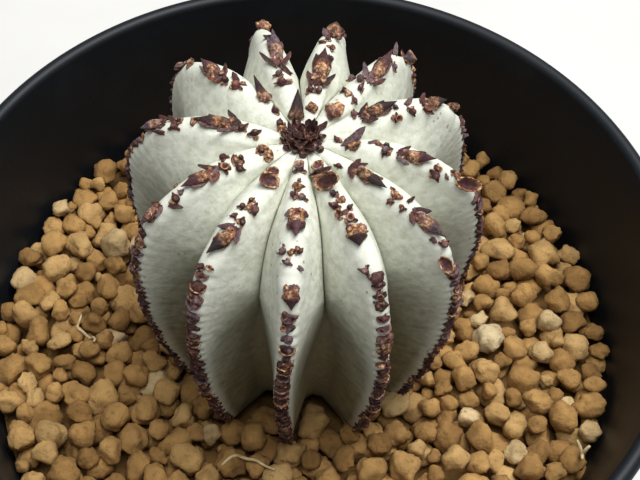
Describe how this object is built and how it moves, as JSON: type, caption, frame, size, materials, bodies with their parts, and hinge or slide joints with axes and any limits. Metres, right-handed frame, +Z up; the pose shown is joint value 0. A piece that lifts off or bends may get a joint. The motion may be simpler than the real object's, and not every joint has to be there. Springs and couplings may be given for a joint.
{
  "type": "potted euphorbia",
  "caption": "Globe-shaped ribbed grey-white euphorbia with dried flower stalks along its crests, in a round black plastic pot of tan granular soil.",
  "frame": {"origin": "centre of the underside of the pot", "axes": "+Z up along the pot's axis, -Y towards the front as pictured, +X to the right"},
  "size_m": [0.105, 0.105, 0.1138],
  "materials": {
    "pot_plastic": "moulded black plastic, dull, slightly dusty",
    "soil_granules": "rough porous tan granules",
    "stem_skin": "grey-white skin with a waxy bloom",
    "dried_stalks": "dry, dark red-brown",
    "pale_roots": "dry, pale straw"
  },
  "bodies": {
    "root": {"crown_tuft": "dried_stalks", "dried_stalk_01_lower": "dried_stalks", "dried_stalk_01_middle": "dried_stalks", "dried_stalk_01_upper": "dried_stalks", "dried_stalk_02_lower": "dried_stalks", "dried_stalk_02_middle": "dried_stalks", "dried_stalk_02_upper": "dried_stalks", "dried_stalk_03_lower": "dried_stalks", "dried_stalk_03_middle": "dried_stalks", "dried_stalk_03_upper": "dried_stalks", "dried_stalk_04_lower": "dried_stalks", "dried_stalk_04_middle": "dried_stalks", "dried_stalk_04_upper": "dried_stalks", "dried_stalk_05_lower": "dried_stalks", "dried_stalk_05_middle": "dried_stalks", "dried_stalk_05_upper": "dried_stalks", "dried_stalk_06_lower": "dried_stalks", "dried_stalk_06_middle": "dried_stalks", "dried_stalk_06_upper": "dried_stalks", "dried_stalk_07_lower": "dried_stalks", "dried_stalk_07_middle": "dried_stalks", "dried_stalk_07_upper": "dried_stalks", "dried_stalk_08_lower": "dried_stalks", "dried_stalk_08_middle": "dried_stalks", "dried_stalk_08_upper": "dried_stalks", "dried_stalk_09_lower": "dried_stalks", "dried_stalk_09_middle": "dried_stalks", "dried_stalk_09_upper": "dried_stalks", "dried_stalk_10_lower": "dried_stalks", "dried_stalk_10_middle": "dried_stalks", "dried_stalk_10_upper": "dried_stalks", "dried_stalk_11_lower": "dried_stalks", "dried_stalk_11_middle": "dried_stalks", "dried_stalk_11_upper": "dried_stalks", "dried_stalk_12_lower": "dried_stalks", "dried_stalk_12_middle": "dried_stalks", "dried_stalk_12_upper": "dried_stalks", "granule_01": "soil_granules", "granule_02": "soil_granules", "granule_03": "soil_granules", "granule_04": "soil_granules", "granule_05": "soil_granules", "granule_06": "soil_granules", "granule_07": "soil_granules", "granule_08": "soil_granules", "granule_09": "soil_granules", "granule_10": "soil_granules", "granule_11": "soil_granules", "granule_12": "soil_granules", "granule_13": "soil_granules", "granule_14": "soil_granules", "pot": "pot_plastic", "rootlet_front": "pale_roots", "rootlet_left": "pale_roots", "soil_bed": "soil_granules", "sprig": "pale_roots", "stem": "stem_skin"}
  },
  "joints": []
}
